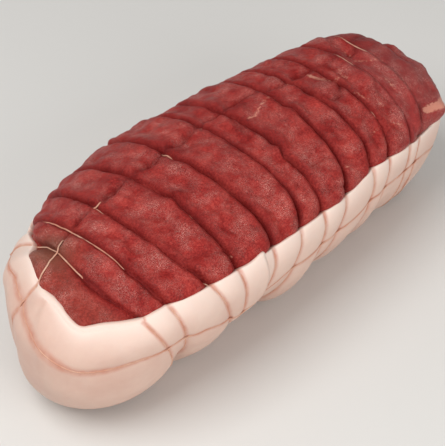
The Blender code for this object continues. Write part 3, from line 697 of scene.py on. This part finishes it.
# Seams of fat and sinew that show in the meat: half width in millimetres, then the places the seam runs by.
SEAMS = (
    (0.7, ((6.14, 87), (6.33, 87), (6.61, 84), (6.85, 83), (7.01, 84))),
    (1.5, ((8.62, 83), (8.66, 87), (8.8, 90))),
    (0.8, ((8.8, 90), (8.96, 93), (9.14, 94))),
    (0.3, ((4.16, 49), (4.26, 45), (4.44, 43), (4.66, 32))),
    (0.3, ((4.65, 68), (4.83, 67))),
    (0.6, ((9.53, 89), (9.42, 92), (9.37, 96))),
    (0.7, ((10.25, 90), (10.57, 93), (11.02, 97))),
    (0.6, ((10.5, 81), (10.5, 87))),
    (0.9, ((11.0, 50), (11.03, 64), (11.0, 78))),
    (0.7, ((11.47, 51), (11.5, 55), (11.54, 59))),
    (0.6, ((10.33, 107), (10.35, 111), (10.39, 114))),
    (0.5, ((10.3, 111), (10.5, 112))),
    (0.3, ((9.12, 105), (9.15, 111), (9.2, 114))),
    (0.4, ((9.45, 118), (9.5, 122))),
    (0.5, ((9.45, 135), (9.55, 140), (9.75, 145))),
    (0.3, ((8.84, 137), (8.45, 140))),
    (0.4, ((8.86, 150), (9.0, 156))),
    (0.3, ((2.98, 156), (3.05, 163))),
    (0.4, ((7.1, 150), (7.2, 153))),
    (2.6, ((11.1, 144), (11.25, 149), (11.38, 152), (11.48, 160))),
)
LIP_HIGHLIGHT_FADE = 8             # how quickly the painted highlight on the fat's edge fades below the rim
NO_STRING = 1.0               # metres, where the crest string doesn't run on the fat


def make_lean(material):
    """The rolled meat, from its humps and creases on top to the plain inside of the fat."""
    rows = tie_rows(LEAN_PITCH)
    mesh, tie, turn = cage(rows, LEAN_ACROSS, LEAN_LOWER, LEAN_UPPER)
    points, _ = lean_skin(tie, turn)
    plain = plain_skin(tie, turn)[0]
    gap = to_tie(plain, tie, turn)[0] + wander(plain, TIE_WANDER_SEED)
    to_line = to_crest(tie, turn) + wander(plain, CREST_WANDER_SEED)
    held = (1 - MEMBRANE_HIDES * membrane(tie, turn)) * np.minimum(unevenness(plain), DARKEST_GROOVE)
    creases = [crease(gap, GROOVE_WIDTH) * held, crease(to_line, CREST_GROOVE_WIDTH)]
    for depth, width, places in FOLDS:
        creases.append(FOLD_SHADE * depth * crease(from_line(plain, places), width * MM))
    away = plain - spots_at([AGED_PLACE])
    aged = np.exp(-(away[:, 0] / AGED_ALONG) ** 2 - (away[:, 1] / AGED_ACROSS) ** 2)
    traits = {
        # groove: painted shade, the creases and folds darkened where shadow falls
        "groove": np.clip(np.max(creases, axis=0), 0, 1) * (1 - past_ties(tie) ** 2),
        # upness: how far up its swell a place is; it places the painted dip shade and the painted glints
        "upness": bay_curve(tie)[1],
        "seam": np.min([from_line(plain, places) / MM - half for half, places in SEAMS], axis=0),
        "aged": np.clip(aged + DULL_END * ease(-3 * tie), 0, 1),
        "membrane": membrane(tie, turn),
    }
    finished("raw_lean", mesh, points, material, "lean_beef", traits)


def make_fat_sheet(name, replaced, material, first, last):
    """One sheet of the fat cover between two tie numbers."""
    rows = tie_rows(FAT_PITCH)
    rows[np.argmin(np.abs(rows - SHEET_SEAM))] = SHEET_SEAM
    mesh, tie, turn = cage(rows, FAT_ACROSS, FAT_LOWER, FAT_UPPER)
    layers = [mesh.verts.layers.float.new(layer) for layer in ("tie", "turn", "depth")]
    for vertex, here, around in zip(mesh.verts, tie, turn):
        vertex[layers[0]], vertex[layers[1]] = here, around
    keep = (np.sin(np.radians(turn)) < RIM_SINE) & (tie > first - NEARLY) & (tie < last + NEARLY)
    mesh.verts.index_update()
    away = [face for face in mesh.faces if not all(keep[vertex.index] for vertex in face.verts)]
    bmesh.ops.delete(mesh, geom=away, context="FACES")
    doubled = bmesh.ops.extrude_face_region(mesh, geom=list(mesh.faces), use_keep_orig=True)
    for item in doubled["geom"]:
        if isinstance(item, bmesh.types.BMVert):
            item[layers[2]] = 1
    bridges = [edge for edge in mesh.edges if edge.verts[0][layers[2]] != edge.verts[1][layers[2]]]
    bmesh.ops.subdivide_edges(mesh, edges=bridges, cuts=LIP_CUTS, use_grid_fill=True)
    tie, turn, depth = (np.array([vertex[layer] for vertex in mesh.verts]) for layer in layers)
    front = first < 0
    points = fat_skin(tie, turn, depth, front)
    points[:, 0] += np.where(np.abs(tie - SHEET_SEAM) < NEARLY, SEAM_GAP / 2 * (-1 if front else 1), 0)
    gap, _ = to_tie(points, tie, turn)
    ends = np.where(past_ties(tie) > 0, np.abs(to_crest(tie, turn)), NO_STRING)
    nearest = np.minimum(np.minimum(np.abs(gap), np.abs(to_belt(tie, turn))), ends)
    traits = {
        "string": nearest / MM,
        # lip: where the fat's rounded edge gets its painted highlight
        "lip": np.exp(np.sin(np.radians(turn)) * LIP_HIGHLIGHT_FADE) * (1 - depth),
        "inward": depth,
    }
    finished(name, mesh, points, material, replaced, traits)


# ---- String ---------------------------------------------------------------------------------------------
STRING_RADIUS = 0.55 * MM
STRING_PITCH = 1.2 * MM
STRING_SIDES = 9
PLY_TURN = 6 * MM             # one ply goes right round the string in this length
PLY_DEPTH = 0.18              # how deep the lay between plies is, as a share of the radius
BURIED = 1.7 * MM             # where the meat has closed over the string, its middle lies this deep
ON_MEAT, ON_FAT = 0.45 * MM, -0.05 * MM      # elsewhere it lies this far over the skin
CLEAR_OF_STRING = 1.15        # crossing strings keep this many string thicknesses between their middles
SHOW_RUN = 2.5                # degrees, or tenths of a bay, over which a string comes up out of the meat
ROUTE_PASSES = 2              # each route, and its lift over another, is smoothed this many times
ROUTE_STEP = 0.05             # of a bay, between places of a lengthwise string
TIP_STEPS, TIP_REACH, BLUNT_CREST_REACH = 90, 0.95, 0.8       # places of the crest string down each end
SIDE_STEPS = 110              # and of the belt string round each end
# The stretches in which a string lies open on the meat: for each tie, turns from and to.
TIE_SHOWS = {
    0: ((-5, 106),), 1: ((-5, 120),), 2: ((52, 84), (172, 190)), 3: ((64, 77), (110, 116), (133, 138)),
    4: ((69, 79), (101, 108)), 5: ((40, 47),), 7: ((84, 90),), 9: ((120, 127),), 10: ((76, 92),),
    11: ((24, 90),),
}
CREST_SHOWS = ((-1, 0.55), (1.9, 2.2))


def shown(at, stretches, run):
    """1 in the stretches where the string lies open, 0 where the meat has closed over it."""
    open_there = np.zeros(len(at))
    for start, end in stretches:
        open_there = np.maximum(open_there, ease((at - start) / run + 0.5) * ease((end - at) / run + 0.5))
    return open_there


def place_route(tie, turn, open_there):
    """The string's middle at these places, and the way out of the joint there."""
    on_fat = np.sin(np.radians(turn)) <= 0
    lean, out = lean_skin(tie, turn)
    fat = fat_skin(tie, turn, np.zeros(len(tie)), False)
    fat = fat + out * np.where(tie < SHEET_SEAM, proud(tie, turn), 0)[:, None]
    lift = np.where(on_fat, ON_FAT, ON_MEAT - (BURIED + ON_MEAT) * (1 - open_there))
    return np.where(on_fat[:, None], fat, lean) + out * lift[:, None], out


def evenly(points, out):
    """The same closed route with points a set pitch apart, and its length."""
    closed = np.vstack([points, points[:1]])
    ways = np.vstack([out, out[:1]])
    run = np.concatenate([[0], np.cumsum(np.linalg.norm(np.diff(closed, axis=0), axis=1))])
    at = np.linspace(0, run[-1], round(run[-1] / STRING_PITCH), endpoint=False)
    points = np.stack([np.interp(at, run, closed[:, axis]) for axis in range(3)], -1)
    ways = np.stack([np.interp(at, run, ways[:, axis]) for axis in range(3)], -1)
    return points, ways / np.linalg.norm(ways, axis=1, keepdims=True), run[-1]


def smoothed(values):
    """The values along a closed route, each drawn towards its two neighbours."""
    for _ in range(ROUTE_PASSES):
        values = (np.roll(values, 1, 0) + 2 * values + np.roll(values, -1, 0)) / 4
    return values


def over_others(points, out, laid):
    """Lifts the route over the strings that are there already."""
    if not laid:
        return points
    tree = kdtree.KDTree(len(laid))
    for number, spot in enumerate(laid):
        tree.insert(spot, number)
    tree.balance()
    clear = (2 * STRING_RADIUS * CLEAR_OF_STRING) ** 2
    lift = np.array([math.sqrt(max(0.0, clear - tree.find(point)[2] ** 2)) for point in points])
    wide = np.max([np.roll(lift, shift) for shift in (-1, 0, 1)], axis=0)
    return points + out * smoothed(wide)[:, None]


def make_string(name, replaced, material, tie, turn, open_there, laid):
    """A closed loop of three-ply string over the given places of the joint."""
    points, out = place_route(tie, turn, open_there)
    points, out, length = evenly(points, out)
    points = over_others(smoothed(points), out, laid)
    laid += [Vector(point) for point in points]
    count = len(points)
    along = np.roll(points, -1, 0) - np.roll(points, 1, 0)
    along = along / np.linalg.norm(along, axis=1, keepdims=True)
    side = np.cross(along, out)
    side = side / np.linalg.norm(side, axis=1, keepdims=True)
    out = np.cross(side, along)
    mesh = bmesh.new()
    bmesh.ops.create_grid(mesh, x_segments=count, y_segments=STRING_SIDES, size=1, calc_uvs=False)
    grid = np.array([vertex.co for vertex in mesh.verts])
    step = np.round((grid[:, 0] + 1) / 2 * count).astype(int)
    around = (grid[:, 1] + 1) * math.pi
    plies = 2 * math.pi * round(length / PLY_TURN) * step / count
    radius = STRING_RADIUS * (1 - PLY_DEPTH + PLY_DEPTH * np.abs(np.cos(1.5 * (around + plies))))
    step = step % count
    ways = out[step] * np.cos(around)[:, None] + side[step] * np.sin(around)[:, None]
    for vertex, spot in zip(mesh.verts, points[step] + ways * radius[:, None]):
        vertex.co = spot
    bmesh.ops.remove_doubles(mesh, verts=mesh.verts, dist=1e-6)
    spots = np.array([vertex.co for vertex in mesh.verts])
    finished(name, mesh, spots, material, replaced)


def cap_places(across, up):
    """Tie offsets into an end cap, and turns, for places on the cap's round face."""
    return 1 - np.hypot(across, up), np.degrees(np.arctan2(up, across)) % 360


def tie_route(number):
    """One loop straight round the joint, a place for each degree."""
    turns = np.arange(0, 360, 1.0)
    stretches = TIE_SHOWS.get(number, ())
    open_there = np.maximum(shown(turns, stretches, SHOW_RUN), shown(turns - 360, stretches, SHOW_RUN))
    return np.full(len(turns), float(number)), turns, open_there


def crest_route():
    """Lengthwise over the crest, down the far end, back underneath and up the blunt end."""
    ties = np.arange(0, LAST_TIE + ROUTE_STEP / 2, ROUTE_STEP)
    top = np.degrees(np.arccos(np.interp(ties, CREST_STRING_TIES, CREST_STRING_SIDES)))
    under = np.full_like(ties, 360 - math.degrees(math.acos(UNDER_STRING_SIDE)))
    down = np.linspace(TIP_REACH, -TIP_REACH, TIP_STEPS)
    into, turn = cap_places(np.full_like(down, UNDER_STRING_SIDE), down)
    up = np.linspace(-TIP_REACH, BLUNT_CREST_REACH, TIP_STEPS)
    back, blunt_turn = cap_places(np.interp(up, BLUNT_CREST_UP, BLUNT_CREST_SIDES), up)
    tie = np.concatenate([ties, LAST_TIE + np.clip(into, 0, 1), ties[::-1], -np.clip(back, 0, 1)])
    return tie, np.concatenate([top, turn, under, blunt_turn]), shown(tie, CREST_SHOWS, SHOW_RUN / 10)


def belt_route():
    """Level round the joint, a little below the rim."""
    ties = np.arange(0, LAST_TIE + ROUTE_STEP / 2, ROUTE_STEP)
    near_side = 180 + np.degrees(np.arcsin(-np.interp(ties, BELT_STRING_TIES, NEAR_BELT_LEVELS)))
    far_side = np.full_like(ties, 360 - math.degrees(math.asin(-BELT_STRING_LEVEL)))
    across = np.linspace(-TIP_REACH, TIP_REACH, SIDE_STEPS)
    into, turn = cap_places(across, np.full_like(across, BELT_STRING_LEVEL))
    across = across[::-1]
    back, blunt_turn = cap_places(across, np.interp(across, BLUNT_BELT_ACROSS, BLUNT_BELT_LEVELS))
    tie = np.concatenate([ties, LAST_TIE + np.clip(into, 0, 1), ties[::-1], -np.clip(back, 0, 1)])
    return tie, np.concatenate([near_side, turn, far_side, blunt_turn]), np.ones(len(tie))


# ---- Materials ------------------------------------------------------------------------------------------
def colour(code):
    """A hex colour turned from sRGB to linear, with full cover."""
    parts = [int(code[place:place + 2], 16) / 255 for place in (0, 2, 4)]
    return (*[part / 12.92 if part <= 0.04045 else ((part + 0.055) / 1.055) ** 2.4 for part in parts], 1.0)


def add(tree, kind, inputs=(), stops=None, **settings):
    """One node with its settings, its values and its links."""
    made = tree.nodes.new(kind)
    for name, value in settings.items():
        setattr(made, name, value)
    for name, value in dict(inputs).items():
        if isinstance(value, bpy.types.NodeSocket):
            tree.links.new(value, made.inputs[name])
        else:
            made.inputs[name].default_value = value
    for place, (position, tint) in enumerate(stops or ()):
        spot = made.color_ramp.elements[place] if place < 2 else made.color_ramp.elements.new(position)
        spot.position, spot.color = position, tint
    return made


def new_material(name):
    """A material with its nodes and its shader."""
    material = bpy.data.materials.new(name)
    material.use_nodes = True
    tree = material.node_tree
    return material, tree, tree.nodes["Principled BSDF"]


def raw_lean_beef():
    """Raw beef muscle, trimmed with a knife: moist red, a velvet of short fibres, pale where sinew shows.

    The eye gets a fine dark-and-light mottle, painted wet glints in clusters on the swells, painted shade
    in the folds and the dips, and one corner that the air has browned.
    """
    material, tree, shader = new_material("raw lean beef, knife trimmed")
    place = add(tree, "ShaderNodeTexCoord").outputs["Object"]
    groove, upness, seam, aged, smooth = (
        add(tree, "ShaderNodeAttribute", attribute_name=trait).outputs["Fac"]
        for trait in ("groove", "upness", "seam", "aged", "membrane")
    )
    velvet, patches, ragged, wiggle, cluster, grain = (
        add(tree, "ShaderNodeTexNoise", {"Vector": place, "Scale": 1 / (size * MM), "Detail": detail,
                                         "Roughness": roughness, "Distortion": distortion}).outputs["Fac"]
        for size, detail, roughness, distortion in (
            (1.2, 4.0, 0.65, 0.4),        # the velvet of cut fibres
            (16, 3.0, 0.6, 0.0),          # lighter and darker muscle
            (1.6, 3.0, 0.5, 0.0),         # the torn edges of sinew
            (1.1, 2.0, 0.5, 2.0),         # the strokes of the painted wet glints
            (13, 3.0, 0.55, 0.0),         # where the glints lie close together
            (0.9, 2.0, 0.5, 1.0),         # the finest grain
        )
    )
    both = add(tree, "ShaderNodeMix", {"Factor": 0.35, "A": velvet, "B": patches}).outputs["Result"]
    reds = [(0.36, colour("741110")), (0.64, colour("BC443B")), (0.5, colour("992521"))]
    red = add(tree, "ShaderNodeValToRGB", {"Fac": both}, reds).outputs["Color"]
    # Painted shade: the dips between the swells are a little darker.
    dip_shade = add(tree, "ShaderNodeMix", {"Factor": upness, "A": colour("8C2523"), "B": colour("FFFFFF")},
               data_type="RGBA").outputs["Result"]
    flesh = add(tree, "ShaderNodeMix", {"Factor": 0.35, "A": red, "B": dip_shade},
                data_type="RGBA", blend_type="MULTIPLY").outputs["Result"]
    # Sinew and thin fat make a broken pale line with torn edges. Wet glints are painted highlights: short
    # wiggly strokes, thick in some places and missing in others, and there are none in the dips.
    frayed, painted_glints, facing, height = (
        add(tree, "ShaderNodeMath", dict(enumerate(values)), operation=operation).outputs["Value"]
        for operation, values in (
            ("MULTIPLY_ADD", (ragged, 4.0, seam)),
            ("COMPARE", (wiggle, 0.5, 0.017)),
            ("ADD", (upness, smooth)),
            ("ADD", (velvet, grain)),
        )
    )
    sinew, close, raised, gloss = (
        add(tree, "ShaderNodeMapRange", {"Value": value, "From Min": start, "From Max": end, "To Min": low,
                                         "To Max": high}, interpolation_type=shape).outputs["Result"]
        for value, start, end, low, high, shape in (
            (frayed, 1.2, 2.4, 0.68, 0.0, "SMOOTHSTEP"),
            (cluster, 0.4, 0.72, 0.0, 1.0, "LINEAR"),
            (facing, 0.3, 0.9, 0.0, 1.0, "LINEAR"),
            (velvet, 0.3, 0.7, 0.3, 0.46, "LINEAR"),
        )
    )
    for share in (close, raised):
        painted_glints = add(tree, "ShaderNodeMath", {0: painted_glints, 1: share}, operation="MULTIPLY").outputs["Value"]
    for layer, strength, tint in (
        (smooth, 0.35, "94403F"),         # the membrane over the far end, thin and a little duller
        (sinew, 1.0, "DC9A82"),
        (aged, 0.8, "7A4A38"),            # the corner that the air has browned
        # painted highlights: the wet glints
        (painted_glints, 0.85, "FBCBBC"),
        (groove, 0.54, "5E0C0D"),         # painted shade in the folds, and the juice they hold
    ):
        share = add(tree, "ShaderNodeMath", {0: layer, 1: strength}, operation="MULTIPLY").outputs["Value"]
        flesh = add(tree, "ShaderNodeMix", {"Factor": share, "A": flesh, "B": colour(tint)},
                    data_type="RGBA").outputs["Result"]
    tree.links.new(flesh, shader.inputs["Base Color"])
    relief = add(tree, "ShaderNodeBump", {"Height": height, "Distance": 0.65 * MM, "Strength": 1.0})
    tree.links.new(relief.outputs["Normal"], shader.inputs["Normal"])
    tree.links.new(gloss, shader.inputs["Roughness"])
    shader.inputs["IOR"].default_value = 1.36
    shader.inputs["Specular IOR Level"].default_value = 0.32
    return material


def beef_fat():
    """Hard beef fat, cut smooth with a knife: waxy and pale, stained where string bites.

    The eye gets a soft cream-pink with faint clouds, a painted highlight along the rounded edge, a pink
    line where it meets the meat, and blurred rust-coloured tracks along the strings.
    """
    material, tree, shader = new_material("raw beef fat, knife trimmed")
    place = add(tree, "ShaderNodeTexCoord").outputs["Object"]
    string, edge, inward = (
        add(tree, "ShaderNodeAttribute", attribute_name=trait).outputs["Fac"]
        for trait in ("string", "lip", "inward")
    )
    clouds, broken, smear = (
        add(tree, "ShaderNodeTexNoise", {"Vector": place, "Scale": 1 / (size * MM), "Detail": detail,
                                         "Roughness": roughness}).outputs["Fac"]
        for size, detail, roughness in (
            (24, 4.0, 0.6),               # faint clouds in the wax
            (7, 3.0, 0.5),                # breaks in the tracks along the strings
            (5, 3.0, 0.5),                # the smear that the knife leaves
        )
    )
    creams = [(0.3, colour("CFA999")), (0.7, colour("D8B8A8"))]
    wax = add(tree, "ShaderNodeValToRGB", {"Fac": clouds}, creams).outputs["Color"]
    # Juice from the meat tints the inner edge. Each string's track is strongest by the string, blurred, and
    # broken along its length.
    tinge, near, patchy, gloss = (
        add(tree, "ShaderNodeMapRange", {"Value": value, "From Min": start, "From Max": end, "To Min": low,
                                         "To Max": high}, interpolation_type=shape).outputs["Result"]
        for value, start, end, low, high, shape in (
            (inward, 0.75, 1.0, 0.0, 0.6, "LINEAR"),
            (string, 0.4, 3.0, 1.0, 0.0, "SMOOTHSTEP"),
            (broken, 0.3, 0.65, 0.35, 0.85, "LINEAR"),
            (clouds, 0.3, 0.7, 0.4, 0.52, "LINEAR"),
        )
    )
    stain = add(tree, "ShaderNodeMath", {0: near, 1: patchy}, operation="MULTIPLY").outputs["Value"]
    # The pale lip is a painted highlight along the rounded edge; the tinge and the string stain are real.
    for layer, tint in ((edge, "EBD4C7"), (tinge, "B8564A"), (stain, "C5826C")):
        wax = add(tree, "ShaderNodeMix", {"Factor": layer, "A": wax, "B": colour(tint)},
                  data_type="RGBA").outputs["Result"]
    tree.links.new(wax, shader.inputs["Base Color"])
    relief = add(tree, "ShaderNodeBump", {"Height": smear, "Distance": 0.25 * MM, "Strength": 0.5})
    tree.links.new(relief.outputs["Normal"], shader.inputs["Normal"])
    tree.links.new(gloss, shader.inputs["Roughness"])
    shader.inputs["IOR"].default_value = 1.46
    shader.inputs["Subsurface Weight"].default_value = 0.15
    shader.inputs["Subsurface Radius"].default_value = (1.0, 0.6, 0.45)
    shader.inputs["Subsurface Scale"].default_value = 2.5 * MM
    return material


def cotton_string():
    """Undyed cotton string, three plies twisted: matt and fluffy.

    The eye gets a thin line, rust-pink where the meat has soaked it and cream where it is dry.
    """
    material, tree, shader = new_material("cotton butcher's string, twisted")
    place = add(tree, "ShaderNodeTexCoord").outputs["Object"]
    soak, fluff = (       # stretches that the meat has soaked, and the cotton's fine fluff
        add(tree, "ShaderNodeTexNoise", {"Vector": place, "Scale": scale, "Detail": 2.0}).outputs["Fac"]
        for scale in (1 / (12 * MM), 1 / (0.5 * MM))
    )
    tints = [(0.42, colour("D2967C")), (0.7, colour("EECFB6"))]
    cotton = add(tree, "ShaderNodeValToRGB", {"Fac": soak}, tints).outputs["Color"]
    cotton = add(tree, "ShaderNodeMix", {"Factor": fluff, "A": cotton, "B": colour("B98069")},
                 data_type="RGBA").outputs["Result"]
    tree.links.new(cotton, shader.inputs["Base Color"])
    relief = add(tree, "ShaderNodeBump", {"Height": fluff, "Distance": 0.15 * MM, "Strength": 1.0})
    tree.links.new(relief.outputs["Normal"], shader.inputs["Normal"])
    shader.inputs["Roughness"].default_value = 0.85
    return material


# ---- Floor, light and camera ----------------------------------------------------------------------------
CAMERA_AZIMUTH, CAMERA_ELEVATION = -47.222, 42.529
CAMERA_DISTANCE = 1400 * MM
CAMERA_AIM = (4.6 * MM, 0.0, -34.1 * MM)      # in the body's own coordinates
CAMERA_LENS = 159.65          # millimetres of lens for each 36 of sensor
CAMERA_REACH = (0.05, 20)     # the nearest and the farthest that it sees
FLOOR_HALF = 3
# Two soft square lamps that point at the origin: name, place, side and power.
LAMPS = (
    ("key", (-0.7, 0.1, 1.2), 0.9, 12.5),
    ("fill", (-0.2, -1.3, 0.6), 1.0, 8.6),
)
ROOM_LIGHT = 0.45             # from all round


def place_floor():
    """A plain pale floor under the joint."""
    mesh = bmesh.new()
    bmesh.ops.create_grid(mesh, x_segments=1, y_segments=1, size=FLOOR_HALF)
    data = bpy.data.meshes.new("floor")
    mesh.to_mesh(data)
    mesh.free()
    material, _, shader = new_material("plain matt floor")
    shader.inputs["Base Color"].default_value = colour("D8D6D2")
    shader.inputs["Roughness"].default_value = 0.9
    data.materials.append(material)
    floor = bpy.data.objects.new("floor", data)
    bpy.context.scene.collection.objects.link(floor)


def place_lights():
    """Even white light from all round, and two soft lamps."""
    world = bpy.data.worlds.new("studio")
    world.use_nodes = True
    surround = world.node_tree.nodes["Background"]
    surround.inputs["Color"].default_value = colour("FFFFFF")
    surround.inputs["Strength"].default_value = ROOM_LIGHT
    bpy.context.scene.world = world
    bpy.context.scene.view_settings.view_transform = "Standard"
    for name, spot, size, power in LAMPS:
        lamp = bpy.data.lights.new(name, "AREA")
        lamp.energy, lamp.size = power, size
        light = bpy.data.objects.new(name, lamp)
        light.location = spot
        light.rotation_euler = (-Vector(spot)).to_track_quat("-Z", "Y").to_euler()
        bpy.context.scene.collection.objects.link(light)


def place_camera():
    """Looks down along the joint from its blunt near end."""
    lens = bpy.data.cameras.new("camera")
    lens.sensor_fit = "HORIZONTAL"
    lens.lens = CAMERA_LENS
    lens.clip_start, lens.clip_end = CAMERA_REACH
    eye = bpy.data.objects.new("camera", lens)
    azimuth, elevation = math.radians(CAMERA_AZIMUTH), math.radians(CAMERA_ELEVATION)
    level = math.cos(elevation)
    back = Vector((math.sin(azimuth) * level, -math.cos(azimuth) * level, math.sin(elevation)))
    eye.location = Vector(CAMERA_AIM) + Vector(SHIFT) + back * CAMERA_DISTANCE
    eye.rotation_euler = (-back).to_track_quat("-Z", "Y").to_euler()
    bpy.context.scene.collection.objects.link(eye)
    bpy.context.scene.camera = eye


def main():
    """The finished joint on its floor, with its lights and camera."""
    lean, fat, string = raw_lean_beef(), beef_fat(), cotton_string()
    make_lean(lean)
    make_fat_sheet("fat_front", "fat_cover_front", fat, -1, SHEET_SEAM)
    make_fat_sheet("fat_rear", "fat_cover_rear", fat, SHEET_SEAM, LAST_TIE + 1)
    laid = []
    for number in range(LAST_TIE + 1):
        make_string(f"string_{number + 1:02d}", f"tie_{number + 1:02d}", string, *tie_route(number), laid)
    make_string("string_belt", "belt_string", string, *belt_route(), laid)
    make_string("string_crest", "crest_string", string, *crest_route(), laid)
    place_floor()
    place_lights()
    place_camera()


main()
